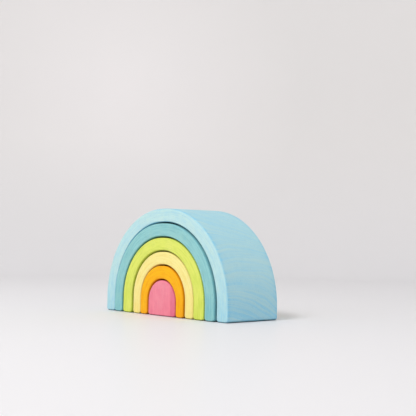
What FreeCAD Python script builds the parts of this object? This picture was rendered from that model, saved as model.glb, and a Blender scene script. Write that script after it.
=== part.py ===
import FreeCAD, Part
import math
import os

import Sketcher

# Rainbow stacker: five wooden arches nested over a solid core block with a rounded top.
# X runs across the width, Y from the front (-Y) to the back, and Z points up.
# The origin lies on the floor, under the middle of the nest.
# Every piece is a loose block of solid wood that stands on the floor on its own feet.

# Driving sizes in millimetres, and shares where the name says so.
# The corners that run along the floor under a foot are rounder than the rims of the faces.
# The crown flat share is how much of a piece's width runs level at its very top.
# An arch's side wall is its thickness at the feet, and its crown wall the one at the top.
# A forward distance is how far a piece stands out in front of the outermost arch.
# A lean share is how far a piece has slid sideways inside the arch around it, towards +X,
# as a share of the saw gap between the two.
SIZES = {
    "depth": 58.0,
    "saw_gap": 1.2,
    "edge_radius": 1.2,
    "foot_radius": 3.0,
    "crown_flat_share": 0.025,
    "core_width": 38.0,
    "core_height": 31.5,
    "core_forward": 1.2,
    "core_lean_share": 0.25,
    "orange_side_wall": 10.0,
    "orange_crown_wall": 11.6,
    "orange_forward": 1.4,
    "orange_lean_share": -0.65,
    "yellow_side_wall": 11.1,
    "yellow_crown_wall": 11.2,
    "yellow_forward": 1.1,
    "yellow_lean_share": 0.6,
    "green_side_wall": 13.5,
    "green_crown_wall": 11.2,
    "green_forward": 1.3,
    "green_lean_share": 0.3,
    "teal_side_wall": 12.3,
    "teal_crown_wall": 11.6,
    "teal_forward": 1.2,
    "teal_lean_share": -0.3,
    "light_blue_side_wall": 13.6,
    "light_blue_crown_wall": 11.9,
}

# The arches from the innermost out, by the colour of their stain.
ARCHES = ["orange", "yellow", "green", "teal", "light_blue"]

# An edge no higher than this above the floor lies on it.
FLOOR_TOLERANCE = 0.001

QUARTER_TURN = math.pi / 2


def fill_sheet(document):
    """Put each driving size in a cell of its own, under its name."""
    sheet = document.addObject("Spreadsheet::Sheet", "sizes")
    for row, (name, value) in enumerate(SIZES.items(), start=1):
        sheet.set(f"A{row}", name)
        sheet.set(f"B{row}", str(value))
        sheet.setAlias(f"B{row}", name)
    document.recompute()
    return sheet


def size(name):
    """The rule that reads one size from the sheet."""
    return f"<<sizes>>.{name}"


def value_of(sheet, rule):
    """The number that a rule gives now."""
    return float(sheet.evalExpression(rule))


def origin_plane(body, role):
    """One of the body's own origin planes."""
    return next(plane for plane in body.Origin.OriginFeatures if plane.Role == role)


def add_body(document, label):
    """A body with an empty profile sketch that faces the front."""
    body = document.addObject("PartDesign::Body", label)
    body.Label = label
    sketch = body.newObject("Sketcher::SketchObject", f"{label}_profile")
    sketch.AttachmentSupport = [(origin_plane(body, "XZ_Plane"), "")]
    sketch.MapMode = "FlatFace"
    document.recompute()
    return body, sketch


def bind(sketch, constraint, name, rule):
    """Add a dimension to the sketch, name it and tie it to its rule."""
    index = sketch.addConstraint(constraint)
    sketch.renameConstraint(index, name)
    sketch.setExpression(f"Constraints.{name}", rule)


def start_of(line):
    """The point where a line or an arc starts."""
    return line, 1


def end_of(line):
    """The point where a line or an arc ends."""
    return line, 2


def centre_of(arc):
    """The point that an arc turns around."""
    return arc, 3


class Bow:
    """The rules of one bow: its half width, its top and the half length of its level crown."""

    def __init__(self, half_width, top, flat):
        self.half_width = half_width
        self.top = top
        self.flat = flat
        self.leg = f"{top} - ({half_width}) + {flat}"

    def around(self, gap):
        """The same bow, moved out by a gap on every side."""
        return Bow(f"{self.half_width} + {gap}", f"{self.top} + {gap}", self.flat)


def outer_bow(half_width, top):
    """The outside of a piece, level over its own share of the width."""
    return Bow(half_width, top, f"{size('crown_flat_share')} * ({half_width})")


def draw_bow(sheet, sketch, name, bow):
    """Two upright legs, a quarter circle over each, and a short level crown between them.

    Returns the two legs. The right one starts at its foot and the left one ends there.
    """
    half_width = value_of(sheet, bow.half_width)
    flat = value_of(sheet, bow.flat)
    leg = value_of(sheet, bow.leg)
    top = value_of(sheet, bow.top)
    right = add_line(sketch, (half_width, 0), (half_width, leg))
    right_quarter = add_quarter(sketch, flat, leg, half_width - flat, 0)
    crown = add_line(sketch, (flat, top), (-flat, top))
    left_quarter = add_quarter(sketch, -flat, leg, half_width - flat, QUARTER_TURN)
    left = add_line(sketch, (-half_width, leg), (-half_width, 0))
    floor_axis, upright_axis = -1, -2
    origin = start_of(floor_axis)
    centres = centre_of(right_quarter) + centre_of(left_quarter)
    outline = [right, right_quarter, crown, left_quarter, left]
    for line, after in zip(outline, outline[1:]):
        sketch.addConstraint(Sketcher.Constraint("Tangent", *end_of(line), *start_of(after)))
    sketch.addConstraint(Sketcher.Constraint("Vertical", right))
    sketch.addConstraint(Sketcher.Constraint("Horizontal", crown))
    sketch.addConstraint(Sketcher.Constraint("Vertical", left))
    sketch.addConstraint(Sketcher.Constraint("PointOnObject", *start_of(right), floor_axis))
    sketch.addConstraint(Sketcher.Constraint("PointOnObject", *end_of(left), floor_axis))
    sketch.addConstraint(Sketcher.Constraint("Symmetric", *centres, upright_axis))
    across = Sketcher.Constraint("DistanceX", *origin, *start_of(right), half_width)
    along_crown = Sketcher.Constraint("DistanceX", *origin, *centre_of(right_quarter), flat)
    up_leg = Sketcher.Constraint("DistanceY", *origin, *centre_of(right_quarter), leg)
    bind(sketch, across, f"{name}_half_width", bow.half_width)
    bind(sketch, along_crown, f"{name}_flat", bow.flat)
    bind(sketch, up_leg, f"{name}_leg", bow.leg)
    return right, left


def add_line(sketch, start, stop):
    """A straight line between two places on the sketch."""
    ends = [FreeCAD.Vector(across, up, 0) for across, up in (start, stop)]
    return sketch.addGeometry(Part.LineSegment(*ends), False)


def add_quarter(sketch, across, up, radius, start_angle):
    """A quarter of a circle, drawn from its start angle to the left."""
    sketch_normal = FreeCAD.Vector(0, 0, 1)
    circle = Part.Circle(FreeCAD.Vector(across, up, 0), sketch_normal, radius)
    quarter = Part.ArcOfCircle(circle, start_angle, start_angle + QUARTER_TURN)
    return sketch.addGeometry(quarter, False)


def join_points(sketch, first, second):
    """A straight line on the floor from one point to another."""
    line = sketch.addGeometry(Part.LineSegment(sketch.getPoint(*first), sketch.getPoint(*second)), False)
    sketch.addConstraint(Sketcher.Constraint("Coincident", *start_of(line), *first))
    sketch.addConstraint(Sketcher.Constraint("Coincident", *end_of(line), *second))


def pad_and_round(document, body, sketch):
    """Give the profile its depth, half to each side, then round its feet and its rims."""
    pad = body.newObject("PartDesign::Pad", f"{body.Label}_block")
    pad.Profile = sketch
    pad.SideType = "Symmetric"
    pad.setExpression("Length", size("depth"))
    document.recompute()
    feet = round_edges(document, body, pad, "feet", runs_under_foot, "foot_radius")
    round_edges(document, body, feet, "rims", runs_along_rim, "edge_radius")


def round_edges(document, body, feature, what, chosen, radius_name):
    """Round every edge that is chosen."""
    edges = enumerate(feature.Shape.Edges, start=1)
    names = [f"Edge{number}" for number, edge in edges if chosen(edge)]
    fillet = body.newObject("PartDesign::Fillet", f"{body.Label}_{what}")
    fillet.Base = (feature, names)
    fillet.setExpression("Radius", size(radius_name))
    document.recompute()
    return fillet


def runs_back(edge):
    """Whether an edge runs from the front to the back."""
    bounds = edge.BoundBox
    return bounds.YLength > bounds.XLength + bounds.ZLength


def runs_under_foot(edge):
    """Whether an edge is a corner of a foot that runs back along the floor."""
    return runs_back(edge) and edge.BoundBox.ZMax < FLOOR_TOLERANCE


def runs_along_rim(edge):
    """Whether an edge borders the front or the back face."""
    return not runs_back(edge)


def build_core(document, sheet):
    """The solid block in the middle, rounded on top and flat below."""
    body, sketch = add_body(document, "pink_core")
    bow = outer_bow(f"{size('core_width')} / 2", size("core_height"))
    right, left = draw_bow(sheet, sketch, "outer", bow)
    join_points(sketch, end_of(left), start_of(right))
    pad_and_round(document, body, sketch)
    return body, bow


def build_arch(document, sheet, colour, filled_by):
    """One arch, cut one saw gap clear of the piece that fills it."""
    body, sketch = add_body(document, f"{colour}_arch")
    inner = filled_by.around(size("saw_gap"))
    half_width = f"{inner.half_width} + {size(f'{colour}_side_wall')}"
    outer = outer_bow(half_width, f"{inner.top} + {size(f'{colour}_crown_wall')}")
    outer_right, outer_left = draw_bow(sheet, sketch, "outer", outer)
    inner_right, inner_left = draw_bow(sheet, sketch, "inner", inner)
    join_points(sketch, end_of(outer_left), end_of(inner_left))
    join_points(sketch, start_of(inner_right), start_of(outer_right))
    pad_and_round(document, body, sketch)
    return body, outer


def set_pieces_down(bodies):
    """Stand each piece where it rests, with the whole nest centred over the origin.

    The bodies come from the outermost inwards. The outermost arch stays in the middle of the
    width, and every other piece leans sideways from the one around it.
    """
    inner_names = ARCHES[-2::-1] + ["core"]
    forward_rules = [size(f"{name}_forward") for name in inner_names]
    back_rule = f"max({'; '.join(forward_rules)}) / 2"
    bodies[0].setExpression("Placement.Base.y", back_rule)
    lean_rule = "0"
    for name, forward_rule, body in zip(inner_names, forward_rules, bodies[1:]):
        lean_rule += f" + {size(f'{name}_lean_share')} * {size('saw_gap')}"
        body.setExpression("Placement.Base.x", lean_rule)
        body.setExpression("Placement.Base.y", f"{back_rule} - {forward_rule}")


def check_document(document, bodies):
    """Stop if any object failed or any piece is not one valid solid."""
    for item in document.Objects:
        if "Invalid" in item.State or "Error" in item.State:
            raise RuntimeError(f"{item.Label} failed: {item.State}")
    for body in bodies:
        shape = body.Shape
        if shape.isNull() or not shape.isValid() or len(shape.Solids) != 1:
            raise RuntimeError(f"{body.Label} is not one valid solid")


def print_facts(bodies):
    """Say how large each piece is and how near it lies to the one around it."""
    for body in bodies:
        bounds = body.Shape.optimalBoundingBox()
        print(
            f"{body.Label}: {bounds.XLength:.2f} x {bounds.YLength:.2f} x {bounds.ZLength:.2f} mm,"
            f" volume {body.Shape.Volume:.0f} mm3"
        )
    for outer, inner in zip(bodies, bodies[1:]):
        gap = outer.Shape.distToShape(inner.Shape)[0]
        print(f"least gap {outer.Label} to {inner.Label}: {gap:.2f} mm")


def main():
    document = FreeCAD.newDocument("rainbow_stacker")
    sheet = fill_sheet(document)
    core, bow = build_core(document, sheet)
    bodies = [core]
    for colour in ARCHES:
        arch, bow = build_arch(document, sheet, colour, bow)
        bodies.append(arch)
    bodies.reverse()
    set_pieces_down(bodies)
    document.recompute()
    check_document(document, bodies)
    print_facts(bodies)
    os.makedirs("parts", exist_ok=True)
    for body in bodies:
        body.Shape.exportStep(f"parts/{body.Label}.step")


main()
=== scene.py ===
import math

import bpy
from mathutils import Matrix, Vector


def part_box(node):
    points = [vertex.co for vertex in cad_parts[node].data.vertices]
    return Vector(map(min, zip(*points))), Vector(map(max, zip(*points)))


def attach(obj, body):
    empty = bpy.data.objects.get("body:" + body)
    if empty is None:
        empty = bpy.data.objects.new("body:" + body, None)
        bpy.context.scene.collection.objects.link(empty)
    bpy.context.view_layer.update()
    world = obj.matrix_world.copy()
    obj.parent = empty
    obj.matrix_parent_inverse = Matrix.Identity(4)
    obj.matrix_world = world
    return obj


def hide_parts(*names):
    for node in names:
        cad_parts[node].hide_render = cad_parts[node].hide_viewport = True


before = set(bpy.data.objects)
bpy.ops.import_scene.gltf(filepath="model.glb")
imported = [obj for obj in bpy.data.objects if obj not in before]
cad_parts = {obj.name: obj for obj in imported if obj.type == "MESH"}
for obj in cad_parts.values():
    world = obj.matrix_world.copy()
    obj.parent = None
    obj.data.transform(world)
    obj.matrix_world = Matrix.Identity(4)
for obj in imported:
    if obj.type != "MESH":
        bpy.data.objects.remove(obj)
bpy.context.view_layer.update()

# Lengths are in metres. A piece's own sizes are read from its box in the frame.
MM = 0.001
QUARTER_TURN = math.pi / 2

# The pieces from the core out. Each arch is filled by the piece before it.
NEST = ["pink_core", "orange_arch", "yellow_arch", "green_arch", "teal_arch", "light_blue_arch"]

SAW_GAP = 1.2 * MM
EDGE_RADIUS = 1.2 * MM
FOOT_RADIUS = 3.0 * MM
CROWN_FLAT_SHARE = 0.025
SANDING_DEPTH = 0.12 * MM
SANDING_PATCH = 22 * MM
SEAM_REACH = 0.001 * MM
# The sanding starts one foot radius above the floor and is full at this many.
FADE_IN_RADII = 3

# Steps of the mesh along a bow from foot to foot, from front to back, and through the wall.
EDGE_STEPS = 4
FOOT_STEPS = 4
LEG_STEPS = 8
QUARTER_STEPS = 60
CROWN_STEPS = 2
DEPTH_STEPS = 24
WALL_STEPS = 6
HALF_RUNS = [EDGE_STEPS, FOOT_STEPS, LEG_STEPS, QUARTER_STEPS]
ALONG_RUNS = [*HALF_RUNS, CROWN_STEPS, *reversed(HALF_RUNS)]
DEPTH_RUNS = [EDGE_STEPS, DEPTH_STEPS, EDGE_STEPS]
WALL_RUNS = [EDGE_STEPS, FOOT_STEPS, WALL_STEPS, FOOT_STEPS, EDGE_STEPS]
ALONG_COUNT = sum(ALONG_RUNS)
DEPTH_COUNT = sum(DEPTH_RUNS)
WALL_COUNT = sum(WALL_RUNS)
CORNER_STEPS = EDGE_STEPS + FOOT_STEPS
FOOT_SHARE = FOOT_STEPS / CORNER_STEPS
HALF_STEP = 0.5

# The names under which each piece keeps its own coordinates and its facing.
PLACE = "bow_place"
FACING = "bow_facing"


class Field:
    """A socket that can stand in a sum. Each step of the sum adds a node to its tree."""

    def __init__(self, tree, socket):
        self.tree = tree
        self.socket = socket

    def __add__(self, other):
        return calc(self.tree, "ADD", self, other)

    def __radd__(self, other):
        return calc(self.tree, "ADD", other, self)

    def __sub__(self, other):
        return calc(self.tree, "SUBTRACT", self, other)

    def __rsub__(self, other):
        return calc(self.tree, "SUBTRACT", other, self)

    def __mul__(self, other):
        return calc(self.tree, "MULTIPLY", self, other)

    def __rmul__(self, other):
        return calc(self.tree, "MULTIPLY", other, self)

    def __truediv__(self, other):
        return calc(self.tree, "DIVIDE", self, other)

    def __rtruediv__(self, other):
        return calc(self.tree, "DIVIDE", other, self)


def feed(tree, socket, value):
    """Join a socket to a field or another socket, or give it a value of its own."""
    if isinstance(value, Field):
        value = value.socket
    if isinstance(value, bpy.types.NodeSocket):
        tree.links.new(value, socket)
    else:
        socket.default_value = value


def add_node(tree, kind, feeds=None, **settings):
    """Add a node, choose its settings, and feed its inputs by name or by number."""
    node = tree.nodes.new(kind)
    for name, value in settings.items():
        setattr(node, name, value)
    for name, value in (feeds or {}).items():
        feed(tree, node.inputs[name], value)
    return node


def first_output(tree, kind, feeds=None, **settings):
    """The first output of a new node, as a field."""
    return Field(tree, add_node(tree, kind, feeds, **settings).outputs[0])


def calc(tree, operation, *values):
    """A step of maths on numbers."""
    return first_output(tree, "ShaderNodeMath", dict(enumerate(values)), operation=operation)


def vector_calc(tree, operation, *values):
    """A step of maths on vectors, with a vector or a length as its result."""
    node = add_node(tree, "ShaderNodeVectorMath", dict(enumerate(values)), operation=operation)
    return Field(tree, node.outputs["Value" if operation == "LENGTH" else "Vector"])


def scaled(tree, vector, factor):
    """A vector made longer or shorter."""
    feeds = {"Vector": vector, "Scale": factor}
    return first_output(tree, "ShaderNodeVectorMath", feeds, operation="SCALE")


def combine(tree, x, y, z):
    """One vector of three numbers."""
    return first_output(tree, "ShaderNodeCombineXYZ", {"X": x, "Y": y, "Z": z})


def separate(tree, vector):
    """The three numbers of a vector."""
    node = add_node(tree, "ShaderNodeSeparateXYZ", {"Vector": vector})
    return [Field(tree, socket) for socket in node.outputs]


def ramp(tree, value, low, high):
    """A value's share of the way from low to high, held between 0 and 1."""
    feeds = {"Value": value, "From Min": low, "From Max": high}
    return first_output(tree, "ShaderNodeMapRange", feeds)


def held(tree, value):
    """A value held between 0 and 1."""
    return ramp(tree, value, 0.0, 1.0)


def noise(tree, place, seed, detail=2.0, roughness=0.5):
    """Soft noise from 0 to 1, with patches about one unit of place across."""
    feeds = {"Vector": place, "W": seed, "Scale": 1.0, "Detail": detail, "Roughness": roughness}
    return first_output(tree, "ShaderNodeTexNoise", feeds, noise_dimensions="4D")


def new_tree(name, kind, inputs, outputs):
    """An empty tree with named inputs and outputs, its input fields and its result sockets."""
    tree = bpy.data.node_groups.new(name, kind)
    for label, socket_type in inputs:
        tree.interface.new_socket(label, in_out="INPUT", socket_type=f"NodeSocket{socket_type}")
    for label, socket_type in outputs:
        tree.interface.new_socket(label, in_out="OUTPUT", socket_type=f"NodeSocket{socket_type}")
    source = tree.nodes.new("NodeGroupInput")
    given = {label: Field(tree, source.outputs[label]) for label, _ in inputs}
    result = tree.nodes.new("NodeGroupOutput").inputs
    return tree, given, result


def use_group(tree, group, feeds):
    """Place a group in a tree and give back its outputs by name."""
    node = tree.nodes.new("ShaderNodeGroup")
    node.node_tree = group
    for name, value in feeds.items():
        feed(tree, node.inputs[name], value)
    return {socket.name: Field(tree, socket) for socket in node.outputs}


# The shape of a piece

BOW_INPUTS = [
    ("Outer Reach", "Float"),
    ("Outer Leg", "Float"),
    ("Outer Flat", "Float"),
    ("Inner Reach", "Float"),
    ("Inner Leg", "Float"),
    ("Inner Flat", "Float"),
    ("Depth", "Float"),
    ("Foot Radius", "Float"),
    ("Edge Radius", "Float"),
    ("Filled", "Float"),
    ("Middle", "Vector"),
    ("Sanding Depth", "Float"),
    ("Sanding Patch", "Float"),
    ("Seed", "Float"),
    ("Stain", "Material"),
]


def gridded_block(tree):
    """A block of unit sides with its middle at the origin, and the step of every point."""
    block = {
        "Size": (1, 1, 1),
        "Vertices X": ALONG_COUNT + 1,
        "Vertices Y": DEPTH_COUNT + 1,
        "Vertices Z": WALL_COUNT + 1,
    }
    geometry = first_output(tree, "GeometryNodeMeshCube", block)
    spot = separate(tree, first_output(tree, "GeometryNodeInputPosition"))
    counts = [ALONG_COUNT, DEPTH_COUNT, WALL_COUNT]
    steps = [(share + 0.5) * count for share, count in zip(spot, counts)]
    return geometry, steps


def run_shares(tree, step, runs):
    """For each run of steps, the share of it that lies behind this step."""
    shares = []
    start = 0
    for count in runs:
        shares.append(ramp(tree, step, start, start + count))
        start += count
    return shares


def end_share(tree, step, end):
    """How far a step has come towards an end of its row, over the corner's steps before it."""
    distance = calc(tree, "ABSOLUTE", step - end)
    return 1 - ramp(tree, distance, 0.0, CORNER_STEPS)


def round_corners(tree, given, along, through, to_back):
    """How far the rounding moves a point down, back and out, and the way that it faces.

    The steps nearest an end of a row belong to the rim, and the foot's steps lie before them.
    """
    to_foot = end_share(tree, along, 0) + end_share(tree, along, ALONG_COUNT)
    to_inside = end_share(tree, through, 0) * (1 - given["Filled"])
    to_outside = end_share(tree, through, WALL_COUNT) - to_inside
    sideways = vector_calc(tree, "NORMALIZE", combine(tree, to_foot, 0.0, to_outside))
    to_side = calc(tree, "MAXIMUM", to_foot, calc(tree, "ABSOLUTE", to_outside))
    on_face = ramp(tree, to_side, 0.0, FOOT_SHARE)
    on_rim = ramp(tree, to_side, FOOT_SHARE, 1.0)
    rim_side = scaled(tree, sideways, on_rim)
    rim = vector_calc(tree, "ADD", rim_side, combine(tree, 0.0, to_back, 0.0))
    facing = vector_calc(tree, "NORMALIZE", rim)
    face_part = scaled(tree, sideways, on_face * (given["Foot Radius"] - given["Edge Radius"]))
    rim_part = scaled(tree, facing, given["Edge Radius"])
    return separate(tree, vector_calc(tree, "ADD", face_part, rim_part)), facing


def between(first, second, share):
    """A value part of the way from the first to the second."""
    return first + (second - first) * share


def own_place(tree, given, runs, leg, reach, spot):
    """A point's own coordinates, which are its way along the bow, back, and out through the wall.

    Those of a filled piece run up, back and across instead, because its grain is straight.
    """
    left_leg, left_quarter, crown, right_quarter, right_leg = runs
    x, y, z = spot
    middle_reach = (given["Inner Reach"] + given["Outer Reach"]) / 2
    turned = QUARTER_TURN * (left_quarter + right_quarter)
    level = 2 * given["Outer Flat"] * crown
    path = leg * (left_leg + right_leg) + middle_reach * turned + level
    bent_place = combine(tree, path, y, reach - given["Inner Reach"])
    open_part = scaled(tree, bent_place, 1 - given["Filled"])
    filled_part = scaled(tree, combine(tree, z, y, x), given["Filled"])
    return vector_calc(tree, "ADD", open_part, filled_part)


def bend_block(tree, given, runs, depth, wall, rounded):
    """Each point's position on a bow around the origin, and its own coordinates."""
    left_leg, left_quarter, crown, right_quarter, right_leg = runs
    down, back, out = rounded
    foot_radius = given["Foot Radius"]
    inner_reach = given["Inner Reach"] + foot_radius * (1 - given["Filled"])
    reach = between(inner_reach, given["Outer Reach"] - foot_radius, wall) + out
    leg = between(given["Inner Leg"], given["Outer Leg"], wall)
    flat = between(given["Inner Flat"], given["Outer Flat"], wall)
    angle = QUARTER_TURN * (2 - left_quarter - right_quarter)
    height = foot_radius - down + (leg - foot_radius) * (left_leg - right_leg)
    x = reach * calc(tree, "COSINE", angle) + flat * (2 * crown - 1)
    y = (given["Depth"] / 2 - given["Edge Radius"]) * (2 * depth - 1) + back
    z = height + reach * calc(tree, "SINE", angle)
    return combine(tree, x, y, z), own_place(tree, given, runs, leg, reach, (x, y, z))


def drop_inner_face(tree, geometry, through, filled):
    """Take out the inner face of a filled piece, which would lie hidden inside it."""
    on_inner_face = calc(tree, "LESS_THAN", through, HALF_STEP) * filled
    feeds = {"Geometry": geometry, "Selection": on_inner_face}
    return first_output(tree, "GeometryNodeDeleteGeometry", feeds, domain="FACE")


def keep_vector(tree, geometry, name, vector):
    """Keep a vector on every point, under a name that the materials can read."""
    node = add_node(tree, "GeometryNodeStoreNamedAttribute", data_type="FLOAT_VECTOR")
    for label, value in {"Geometry": geometry, "Name": name, "Value": vector}.items():
        feed(tree, node.inputs[label], value)
    return Field(tree, node.outputs[0])


def move_points(tree, geometry, feeds):
    """Set the position of every point, or offset it."""
    return first_output(tree, "GeometryNodeSetPosition", {"Geometry": geometry, **feeds})


def close_seams(tree, geometry):
    """Join the points that meet down the middle of a filled piece."""
    feeds = {"Geometry": geometry, "Distance": SEAM_REACH}
    return first_output(tree, "GeometryNodeMergeByDistance", feeds)


def sand_surface(tree, geometry, given):
    """Take a little off by hand above the feet, so that no face is dead true."""
    position = first_output(tree, "GeometryNodeInputPosition")
    height = separate(tree, position)[2]
    foot_radius = given["Foot Radius"]
    above_foot = ramp(tree, height, foot_radius, FADE_IN_RADII * foot_radius)
    patches = scaled(tree, position, 1 / given["Sanding Patch"])
    taken = noise(tree, patches, given["Seed"]) * above_foot * given["Sanding Depth"]
    normal = first_output(tree, "GeometryNodeInputNormal")
    return move_points(tree, geometry, {"Offset": scaled(tree, normal, 0 - taken)})


def build_bow_tree():
    """The rule of every piece: two legs, two quarter circles and a short level crown.

    A gridded block is rounded in its own directions, which are down to a foot, back, and out
    through the wall. Its feet get one radius and the rims of its faces a smaller one. Then it
    is bent from foot to foot.
    """
    geometry_output = [("Geometry", "Geometry")]
    tree, given, result = new_tree("Nesting Bow", "GeometryNodeTree", BOW_INPUTS, geometry_output)
    tree.is_modifier = True
    geometry, (along, backward, through) = gridded_block(tree)
    bow_runs = run_shares(tree, along, ALONG_RUNS)[2:-2]
    front_edge, depth, back_edge = run_shares(tree, backward, DEPTH_RUNS)
    wall = run_shares(tree, through, WALL_RUNS)[2]
    to_back = front_edge + back_edge - 1
    rounded, facing = round_corners(tree, given, along, through, to_back)
    bent, place = bend_block(tree, given, bow_runs, depth, wall, rounded)

    geometry = drop_inner_face(tree, geometry, through, given["Filled"])
    geometry = keep_vector(tree, geometry, PLACE, place)
    geometry = keep_vector(tree, geometry, FACING, facing)
    position = vector_calc(tree, "ADD", bent, given["Middle"])
    geometry = move_points(tree, geometry, {"Position": position})
    geometry = close_seams(tree, geometry)
    geometry = sand_surface(tree, geometry, given)
    geometry = first_output(tree, "GeometryNodeSetShadeSmooth", {"Geometry": geometry})
    geometry = first_output(tree, "GeometryNodeRealizeInstances", {"Geometry": geometry})
    stain = {"Geometry": geometry, "Material": given["Stain"]}
    feed(tree, result["Geometry"], first_output(tree, "GeometryNodeSetMaterial", stain))
    return tree


def shape_piece(name, tree, sizes):
    """Shape one piece by the tree and keep the result as a plain mesh."""
    piece = bpy.data.objects.new(name, bpy.data.meshes.new(name))
    bpy.context.scene.collection.objects.link(piece)
    modifier = piece.modifiers.new("Nesting Bow", "NODES")
    modifier.node_group = tree
    for item in tree.interface.items_tree:
        if item.in_out == "INPUT":
            modifier[item.identifier] = sizes[item.name]
    graph = bpy.context.evaluated_depsgraph_get()
    evaluated = piece.evaluated_get(graph)
    shaped = bpy.data.meshes.new_from_object(
        evaluated, preserve_all_data_layers=True, depsgraph=graph
    )
    piece.modifiers.remove(modifier)
    piece.data = shaped
    return piece


def outer_sizes(node):
    """The outer sizes and the place of a piece, from its box in the frame."""
    low, high = (Vector(corner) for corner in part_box(node))
    half_width = (high.x - low.x) / 2
    flat = CROWN_FLAT_SHARE * half_width
    return {
        "Outer Reach": half_width - flat,
        "Outer Leg": high.z - half_width + flat,
        "Outer Flat": flat,
        "Depth": high.y - low.y,
        "Middle": ((low.x + high.x) / 2, (low.y + high.y) / 2, 0.0),
    }


def tunnel_sizes(filled_by):
    """The inner sizes of an arch, a saw gap clear of the piece that fills it."""
    inner = outer_sizes(filled_by)
    return {
        "Inner Reach": inner["Outer Reach"] + SAW_GAP,
        "Inner Leg": inner["Outer Leg"],
        "Inner Flat": inner["Outer Flat"],
        "Filled": 0.0,
    }


def solid_sizes(outer_leg):
    """The inner sizes of a piece with no tunnel, whose grid closes down its middle."""
    return {"Inner Reach": 0.0, "Inner Leg": outer_leg, "Inner Flat": 0.0, "Filled": 1.0}


def build_piece(node, filled_by, seed, tree, stain):
    """One piece of the nest, in the place of its node and on its body."""
    outer = outer_sizes(node)
    inner = tunnel_sizes(filled_by) if filled_by else solid_sizes(outer["Outer Leg"])
    sizes = {
        **outer,
        **inner,
        "Foot Radius": FOOT_RADIUS,
        "Edge Radius": EDGE_RADIUS,
        "Sanding Depth": SANDING_DEPTH,
        "Sanding Patch": SANDING_PATCH,
        "Seed": float(seed),
        "Stain": stain,
    }
    piece = shape_piece(f"{node}_wood", tree, sizes)
    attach(piece, node)
    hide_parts(node)
    return piece


# The wood

# The growth rings turn around a pith that runs from left to right, far below the block.
# They lie level at one height, and dip towards the back above and below it. All the pieces
# are sawn out of one block, so the rings run on from one to the next with the same seeds.
PITH_BACK = -4 * MM
PITH_HEIGHT = -90 * MM
LEVEL_HEIGHT = 48 * MM
DIP_SPAN = (8 * MM, 34 * MM)
RING_DIP = 0.32
RING = 2.2 * MM
FINE_RING = 0.9 * MM
RING_RUN = 60 * MM
RING_WANDER = 18 * MM
RING_SWING = 4 * MM
WANDER_SEED = 0.0
RING_SEED = 1.0
FINE_RING_SEED = 2.0
FINE_RING_SHARE = 0.45

# The width of a streak, a fibre and a pore, and how far each runs along the grain.
STREAK = 1.1 * MM
STREAK_RUN = 15 * MM
FIBRE = 0.6 * MM
FIBRE_RUN = 18 * MM
PORE = 0.3 * MM
PORE_RUN = 3.0 * MM

# The levels of the noise between which a mask rises from 0 to 1.
STREAK_SPAN = (0.3, 0.7)
RING_SPAN = (0.4, 0.62)
PORE_SPAN = (0.68, 0.8)
RUBBED_SPAN = (0.5, 0.7)
THIN_SPAN = (0.5, 0.75)

# How far a point has to face inwards or down to take the painted shade inside a tunnel or under a
# foot.
INSIDE_SPAN = (0.1, 0.9)
SOLE_SHADE_SPAN = (0.0, 0.5)
SOLE_SHADE_HEIGHTS = (0.3 * MM, 1.8 * MM)

# A point that faces halfway between two directions faces this much each way.
HALFWAY = math.sqrt(0.5)
EDGE_PATCH = 5 * MM


def growth_rings(tree, position):
    """Pale and dark rings around the pith, broad and fine ones together."""
    side, depth, height = separate(tree, position)
    wander = noise(tree, scaled(tree, position, 1 / RING_WANDER), WANDER_SEED, detail=1.0)
    from_pith = combine(tree, 0.0, depth - PITH_BACK, height - PITH_HEIGHT)
    off_level = calc(tree, "ABSOLUTE", height - LEVEL_HEIGHT)
    dip = RING_DIP * ramp(tree, off_level, *DIP_SPAN) * depth
    swing = RING_SWING * (wander - 0.5)
    ring_place = vector_calc(tree, "LENGTH", from_pith) + dip + swing
    along_ring = [side / RING_RUN, depth / RING_RUN]
    broad = noise(tree, combine(tree, ring_place / RING, *along_ring), RING_SEED, detail=1.0)
    fine = noise(tree, combine(tree, ring_place / FINE_RING, *along_ring), FINE_RING_SEED)
    return ramp(tree, broad * (1 - FINE_RING_SHARE) + fine * FINE_RING_SHARE, *RING_SPAN)


def build_grain_group():
    """Streaks along the bow on the faces, and growth rings and fibres on the sawn walls."""
    inputs = [("Place", "Vector"), ("Position", "Vector"), ("Facing", "Vector"), ("Seed", "Float")]
    masks = ["Streaks", "Rings", "Pores", "Sawn", "Inside"]
    outputs = [(mask, "Float") for mask in masks]
    tree, given, result = new_tree("Wood Grain", "ShaderNodeTree", inputs, outputs)
    seed = given["Seed"]
    along, back, across = separate(tree, given["Place"])
    side, depth, height = separate(tree, given["Position"])
    down, _, out = separate(tree, given["Facing"])
    sawn = held(tree, out * out + down * down)

    streak_place = combine(tree, along / STREAK_RUN, back / STREAK, across / STREAK)
    streaks = noise(tree, streak_place, seed, detail=3.0)
    fibre_place = combine(tree, side / FIBRE_RUN, depth / FIBRE, height / FIBRE)
    fibres = noise(tree, fibre_place, seed)
    pore_place = combine(tree, along / PORE_RUN, back / PORE, across / PORE)
    pores = noise(tree, pore_place, seed, detail=0.0)

    feed(tree, result["Streaks"], ramp(tree, between(streaks, fibres, sawn), *STREAK_SPAN))
    feed(tree, result["Rings"], growth_rings(tree, given["Position"]))
    feed(tree, result["Pores"], ramp(tree, pores, *PORE_SPAN))
    feed(tree, result["Sawn"], sawn)
    feed(tree, result["Inside"], ramp(tree, 0 - out, *INSIDE_SPAN))
    return tree


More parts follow.
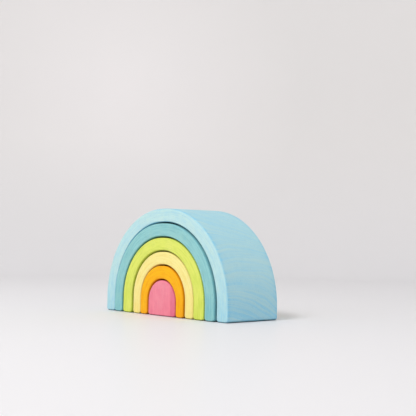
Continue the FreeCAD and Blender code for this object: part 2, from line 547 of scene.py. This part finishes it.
def build_edge_group():
    """Where an edge is rounded, where handling has rubbed it thin, and the painted shade under a
    foot's sole.
    """
    inputs = [("Position", "Vector"), ("Facing", "Vector"), ("Seed", "Float")]
    outputs = [("Pooled", "Float"), ("Rubbed", "Float"), ("Sole Shade", "Float")]
    tree, given, result = new_tree("Rounded Edge", "ShaderNodeTree", inputs, outputs)
    down, back, out = separate(tree, vector_calc(tree, "ABSOLUTE", given["Facing"]))
    flat = calc(tree, "MAXIMUM", calc(tree, "MAXIMUM", down, back), out)
    rounded = ramp(tree, 1 - flat, 0.0, 1 - HALFWAY)
    patches = noise(tree, scaled(tree, given["Position"], 1 / EDGE_PATCH), given["Seed"])
    height = separate(tree, given["Position"])[2]
    low = 1 - ramp(tree, height, *SOLE_SHADE_HEIGHTS)
    feed(tree, result["Pooled"], rounded)
    feed(tree, result["Rubbed"], rounded * ramp(tree, patches, *RUBBED_SPAN))
    # Painted shade on the underside of each foot, just above the floor.
    feed(tree, result["Sole Shade"], ramp(tree, down, *SOLE_SHADE_SPAN) * low)
    return tree


# The stains

# Each stain where it lies evenly, where it is deep (soaked, and painted shade), and where the wood
# shows through.
STAINS = {
    "light_blue_arch": ((196, 231, 230), (103, 194, 235), (193, 224, 223)),
    "teal_arch": ((150, 208, 209), (104, 176, 188), (162, 206, 192)),
    "green_arch": ((228, 237, 110), (190, 214, 66), (231, 231, 145)),
    "yellow_arch": ((252, 239, 154), (244, 217, 112), (250, 237, 180)),
    "orange_arch": ((254, 189, 4), (245, 151, 0), (253, 194, 44)),
    "pink_core": ((250, 149, 166), (222, 98, 132), (247, 174, 184)),
}

# How plainly each mark shows, and how much of the deep stain the sawn sides take as painted shade.
USUAL_STRENGTHS = {
    "Sawn Side Shade": 0.25,
    "Ring Strength": 0.25,
    "Streak Strength": 0.7,
    "Mottle Strength": 0.5,
    "Thin Strength": 0.35,
    "Rim Strength": 0.35,
    "Lap Strength": 0.0,
}
# The core alone has a second coat, laid over its right side.
OWN_STRENGTHS = {
    "light_blue_arch": {"Sawn Side Shade": 0.3, "Ring Strength": 0.55, "Streak Strength": 0.32},
    "pink_core": {"Streak Strength": 0.3, "Lap Strength": 0.38},
}

# The size of the mottle and of the thin patches, and how far the feet and rims soaked.
MOTTLE = 7 * MM
THIN_PATCH = 12 * MM
THIN_SEED_STEP = 7
FOOT_SOAK = 40 * MM
RIM_BAND = 6 * MM
LAP_START = 11.6 * MM
LAP_SOFTNESS = 2.4 * MM

# How much of the deep stain lies evenly, up from the feet and on the rounded edges, and how much
# lies inside as painted shade.
EVEN_DEPTH = 0.12
SOAKED_DEPTH = 0.22
POOLED_DEPTH = 0.12
INSIDE_SHADE_DEPTH = 0.3
# How much weaker the streaks and the mottle are on the sawn walls, and the thin patches.
SAWN_CALM = 0.5
SAWN_COVER = 0.6
# How plainly the wood shows where an edge is rubbed.
RUBBED_THIN = 0.25

# Dirt lies in the pores, and painted shade in the tunnels and under the feet; both keep a little
# of the stain.
GRIME_AND_SHADE = (40, 46, 36)
GRIME_AND_SHADE_SHARE = 0.8
PORE_GRIME = 0.2
INSIDE_PAINTED_SHADE = 0.15
SOLE_PAINTED_SHADE = 0.9

# The finish: how rough and glossy it is, and how far each mark stands out of it.
WOOD_ROUGHNESS = 0.62
MOTTLE_ROUGHNESS = 0.14
RUBBED_POLISH = 0.08
WOOD_GLOSS = 0.24
GRAIN_HEIGHT = 0.6
PORE_HEIGHT = 0.5
MOTTLE_HEIGHT = 0.4
BUMP_STRENGTH = 0.35
BUMP_DEPTH = 0.12 * MM

STAIN_INPUTS = [
    ("Seed", "Float"),
    ("Stain", "Color"),
    ("Deep Stain", "Color"),
    ("Thin Stain", "Color"),
    ("Half Depth", "Float"),
    *((label, "Float") for label in USUAL_STRENGTHS),
]


def srgb(red, green, blue):
    """A colour as it looks on a screen, out of 255, turned to the renderer's own scale."""
    shares = [level / 255 for level in (red, green, blue)]
    linear = [s / 12.92 if s <= 0.04045 else ((s + 0.055) / 1.055) ** 2.4 for s in shares]
    return (*linear, 1.0)


def mix_colours(tree, share, first, second):
    """A colour part of the way from the first to the second."""
    node = tree.nodes.new("ShaderNodeMix")
    node.data_type = "RGBA"
    sockets = {socket.identifier: socket for socket in node.inputs}
    feed(tree, sockets["Factor_Float"], share)
    feed(tree, sockets["A_Color"], first)
    feed(tree, sockets["B_Color"], second)
    outputs = {socket.identifier: socket for socket in node.outputs}
    return Field(tree, outputs["Result_Color"])


def read_attribute(tree, name):
    """A vector that each piece keeps on its points."""
    node = add_node(tree, "ShaderNodeAttribute", attribute_name=name)
    return Field(tree, node.outputs["Vector"])


def read_position(tree):
    """A point's position, in metres from the origin of the frame."""
    return Field(tree, add_node(tree, "ShaderNodeTexCoord").outputs["Object"])


def stain_depth(tree, given, position, from_middle, wood, edge, mottle):
    """How much of the deep stain a point has, painted shade on the sawn walls and inside included.
    """
    side, _, height = separate(tree, position)
    soaked = 1 - ramp(tree, height, 0.0, FOOT_SOAK)
    lap = ramp(tree, side, LAP_START, LAP_START + LAP_SOFTNESS)
    to_face = given["Half Depth"] - from_middle
    rim_band = (1 - ramp(tree, to_face, 0.0, RIM_BAND)) * wood["Sawn"]
    calm = 1 - SAWN_CALM * wood["Sawn"]
    return (
        EVEN_DEPTH
        + SOAKED_DEPTH * soaked
        # Painted shade: the sawn walls take more of the deep stain than the faces.
        + given["Sawn Side Shade"] * wood["Sawn"]
        + given["Streak Strength"] * (wood["Streaks"] - 0.5) * calm
        + given["Mottle Strength"] * (mottle - 0.5) * calm
        + POOLED_DEPTH * edge["Pooled"]
        + given["Rim Strength"] * rim_band * rim_band
        # Painted shade on the walls inside the tunnels.
        + INSIDE_SHADE_DEPTH * wood["Inside"]
        + lap * given["Lap Strength"]
    )


def stain_thinning(tree, given, position, wood, edge):
    """How plainly the wood shows through a point's stain."""
    patch_seed = given["Seed"] + THIN_SEED_STEP
    patch_place = scaled(tree, position, 1 / THIN_PATCH)
    patches = noise(tree, patch_place, patch_seed, detail=4.0, roughness=0.6)
    thin = ramp(tree, patches, *THIN_SPAN) * (1 - SAWN_COVER * wood["Sawn"])
    return (
        given["Thin Strength"] * thin
        + given["Ring Strength"] * wood["Sawn"] * wood["Rings"]
        + RUBBED_THIN * edge["Rubbed"]
    )


def build_stain_group(grain_group, edge_group):
    """A water stain on pale wood: deeper at the feet and rims, thinner over the hard rings, with
    painted shade on the sawn walls, inside and under the feet.
    """
    outputs = [("Color", "Color"), ("Roughness", "Float"), ("Height", "Float")]
    tree, given, result = new_tree("Stained Wood", "ShaderNodeTree", STAIN_INPUTS, outputs)
    place = read_attribute(tree, PLACE)
    facing = read_attribute(tree, FACING)
    position = read_position(tree)
    seed = given["Seed"]
    edge_feeds = {"Position": position, "Facing": facing, "Seed": seed}
    wood = use_group(tree, grain_group, {"Place": place, **edge_feeds})
    edge = use_group(tree, edge_group, edge_feeds)
    mottle = noise(tree, scaled(tree, position, 1 / MOTTLE), seed, detail=3.0)

    from_middle = calc(tree, "ABSOLUTE", separate(tree, place)[1])
    depth = stain_depth(tree, given, position, from_middle, wood, edge, mottle)
    stained = mix_colours(tree, held(tree, depth), given["Stain"], given["Deep Stain"])
    thinned = stain_thinning(tree, given, position, wood, edge)
    colour = mix_colours(tree, held(tree, thinned), stained, given["Thin Stain"])
    # A dark colour for the dirt in the pores and for the painted shade.
    grime_and_shade_colour = mix_colours(tree, GRIME_AND_SHADE_SHARE, given["Deep Stain"], srgb(*GRIME_AND_SHADE))
    # Painted shade inside the tunnels and under the feet, beside the dirt in the pores.
    tunnel_shade = INSIDE_PAINTED_SHADE * wood["Inside"]
    grime_and_shade_amount = PORE_GRIME * wood["Pores"] + tunnel_shade + SOLE_PAINTED_SHADE * edge["Sole Shade"]
    colour = mix_colours(tree, held(tree, grime_and_shade_amount), colour, grime_and_shade_colour)
    feed(tree, result["Color"], colour)

    uneven = MOTTLE_ROUGHNESS * (mottle - 0.5)
    feed(tree, result["Roughness"], WOOD_ROUGHNESS + uneven - RUBBED_POLISH * edge["Rubbed"])
    grain = between(wood["Streaks"], wood["Rings"], wood["Sawn"])
    height = grain * GRAIN_HEIGHT - wood["Pores"] * PORE_HEIGHT + mottle * MOTTLE_HEIGHT
    feed(tree, result["Height"], height)
    return tree


def new_material(name):
    """A material with an empty tree and its surface shader."""
    material = bpy.data.materials.new(name)
    material.use_nodes = True
    tree = material.node_tree
    tree.nodes.clear()
    shader = tree.nodes.new("ShaderNodeBsdfPrincipled")
    output = tree.nodes.new("ShaderNodeOutputMaterial")
    tree.links.new(shader.outputs["BSDF"], output.inputs["Surface"])
    return material, tree, shader


def stained_wood(name, group, feeds):
    """One stain: the group's colour, roughness and bump on a plain shader."""
    material, tree, shader = new_material(name)
    look = use_group(tree, group, feeds)
    bump = {"Height": look["Height"], "Strength": BUMP_STRENGTH, "Distance": BUMP_DEPTH}
    feed(tree, shader.inputs["Base Color"], look["Color"])
    feed(tree, shader.inputs["Roughness"], look["Roughness"])
    feed(tree, shader.inputs["Normal"], first_output(tree, "ShaderNodeBump", bump))
    shader.inputs["Specular IOR Level"].default_value = WOOD_GLOSS
    return material


def make_stain(node, seed, group):
    """The stain of one piece."""
    stain, deep, thin = STAINS[node]
    feeds = {
        "Seed": float(seed),
        "Stain": srgb(*stain),
        "Deep Stain": srgb(*deep),
        "Thin Stain": srgb(*thin),
        "Half Depth": outer_sizes(node)["Depth"] / 2,
        **USUAL_STRENGTHS,
        **OWN_STRENGTHS.get(node, {}),
    }
    return stained_wood(f"{node}_stain", group, feeds)


# The studio

# The floor's reach, the radius of its curve up into the wall, and the wall's height.
FLOOR_REACH = 0.85
WALL_CURVE = 0.4
WALL_HEIGHT = 1.3
BACKDROP_SIDES = 96
CURVE_STEPS = 24
FLOOR_COLOUR = (238, 237, 239)
WALL_COLOUR = (241, 239, 238)
WALL_FADE = 0.3
PAPER_ROUGHNESS = 0.3
PAPER_GLOSS = 0.003
# A pool of painted light on the wall: a soft, paler patch behind the nest and to its left.
PAINTED_LIGHT_COLOUR = (253, 250, 250)
PAINTED_LIGHT_PLACE = (-1.05, 0.67, 0.43)
PAINTED_LIGHT_REACH = 0.42

WORLD_STRENGTH = 0.68
LAMP_AIM = (0.0, 0.0, 0.05)
LAMP_PLACE = (0.1, -0.95, 1.3)
LAMP_SIZE = 0.4
LAMP_WATTS = 8.8


def backdrop_profile():
    """The reach and height of each ring of the backdrop, from the floor up the wall."""
    profile = [(FLOOR_REACH / 2, 0.0), (FLOOR_REACH, 0.0)]
    for step in range(1, CURVE_STEPS + 1):
        turn = QUARTER_TURN * step / CURVE_STEPS
        reach = FLOOR_REACH + WALL_CURVE * math.sin(turn)
        profile.append((reach, WALL_CURVE * (1 - math.cos(turn))))
    profile.append((FLOOR_REACH + WALL_CURVE, WALL_HEIGHT))
    return profile


def backdrop_mesh():
    """The backdrop's profile turned once around, and closed in the middle of the floor."""
    profile = backdrop_profile()
    points = []
    for reach, height in profile:
        for side in range(BACKDROP_SIDES):
            angle = 2 * math.pi * side / BACKDROP_SIDES
            points.append((reach * math.cos(angle), reach * math.sin(angle), height))
    faces = [tuple(range(BACKDROP_SIDES))]
    for ring in range(len(profile) - 1):
        low = ring * BACKDROP_SIDES
        high = low + BACKDROP_SIDES
        for side in range(BACKDROP_SIDES):
            after = (side + 1) % BACKDROP_SIDES
            faces.append((high + side, high + after, low + after, low + side))
    mesh = bpy.data.meshes.new("backdrop")
    mesh.from_pydata(points, [], faces)
    mesh.shade_smooth()
    return mesh


def pale_paper():
    """The backdrop's paper, with a faint sheen that mirrors the nest softly."""
    material, tree, shader = new_material("Pale Paper")
    position = read_position(tree)
    up_wall = ramp(tree, separate(tree, position)[2], 0.0, WALL_FADE)
    # Painted light: the wall grows paler towards a point behind the nest.
    from_painted_light = vector_calc(tree, "LENGTH", vector_calc(tree, "SUBTRACT", position, PAINTED_LIGHT_PLACE))
    painted_light = 1 - ramp(tree, from_painted_light, 0.0, PAINTED_LIGHT_REACH)
    wall = mix_colours(tree, painted_light, srgb(*WALL_COLOUR), srgb(*PAINTED_LIGHT_COLOUR))
    paper = mix_colours(tree, up_wall, srgb(*FLOOR_COLOUR), wall)
    feed(tree, shader.inputs["Base Color"], paper)
    shader.inputs["Roughness"].default_value = PAPER_ROUGHNESS
    shader.inputs["Specular IOR Level"].default_value = PAPER_GLOSS
    return material


def build_backdrop():
    """A round pale floor that curves up into a wall on every side."""
    mesh = backdrop_mesh()
    mesh.materials.append(pale_paper())
    backdrop = bpy.data.objects.new("backdrop", mesh)
    bpy.context.scene.collection.objects.link(backdrop)


def hang_lamp():
    """A square soft lamp above and in front of the pieces, turned to them."""
    light = bpy.data.lights.new("softbox", "AREA")
    light.shape = "SQUARE"
    light.size = LAMP_SIZE
    light.energy = LAMP_WATTS
    lamp = bpy.data.objects.new("softbox", light)
    lamp.location = LAMP_PLACE
    lamp.rotation_mode = "QUATERNION"
    lamp.rotation_quaternion = (Vector(LAMP_AIM) - Vector(LAMP_PLACE)).to_track_quat("-Z", "Y")
    bpy.context.scene.collection.objects.link(lamp)


def light_studio():
    """An even pale world, and one soft lamp from the upper front."""
    world = bpy.data.worlds.new("studio")
    bpy.context.scene.world = world
    world.use_nodes = True
    background = world.node_tree.nodes["Background"]
    background.inputs["Color"].default_value = (1.0, 1.0, 1.0, 1.0)
    background.inputs["Strength"].default_value = WORLD_STRENGTH
    hang_lamp()


# The camera, as the photograph was taken

# Angles are in degrees. The aim is a point to the right of the nest's middle, as the camera
# sees it, and above the floor. The lens is given in pixels of the photograph's frame.
CAMERA_AZIMUTH = 48.82
CAMERA_ELEVATION = -2.44
CAMERA_ROLL = 0.86
CAMERA_DISTANCE = 783.3 * MM
AIM_RIGHT = 17.45 * MM
AIM_HEIGHT = 96.85 * MM
AIM_BACK = 0.7 * MM
LENS_PIXELS = 861.2
IMAGE_PIXELS = 416
SENSOR_WIDTH = 36.0


def place_camera():
    """Stand the camera where the photograph was taken from."""
    azimuth = math.radians(CAMERA_AZIMUTH)
    elevation = math.radians(CAMERA_ELEVATION)
    roll = Matrix.Rotation(math.radians(CAMERA_ROLL), 3, "Z")
    right = Vector((math.cos(azimuth), math.sin(azimuth), 0.0))
    level_back = Vector((0.0, -math.cos(elevation), math.sin(elevation)))
    back = Matrix.Rotation(azimuth, 3, "Z") @ level_back
    up = back.cross(right)
    aim = right * AIM_RIGHT + Vector((0.0, AIM_BACK, AIM_HEIGHT))
    turned = Matrix((right, up, back)).transposed() @ roll
    data = bpy.data.cameras.new("camera")
    data.sensor_width = SENSOR_WIDTH
    data.lens = LENS_PIXELS * SENSOR_WIDTH / IMAGE_PIXELS
    camera = bpy.data.objects.new("camera", data)
    camera.matrix_world = Matrix.Translation(aim + back * CAMERA_DISTANCE) @ turned.to_4x4()
    bpy.context.scene.collection.objects.link(camera)
    bpy.context.scene.camera = camera


def build_pieces():
    """All six pieces, from the core out."""
    tree = build_bow_tree()
    stain_group = build_stain_group(build_grain_group(), build_edge_group())
    filled_by = None
    for seed, node in enumerate(NEST, start=1):
        stain = make_stain(node, seed, stain_group)
        piece = build_piece(node, filled_by, seed, tree, stain)
        filled_by = node


def main():
    """Build the whole scene."""
    bpy.context.scene.view_settings.view_transform = "Standard"
    place_camera()
    light_studio()
    build_backdrop()
    build_pieces()


main()
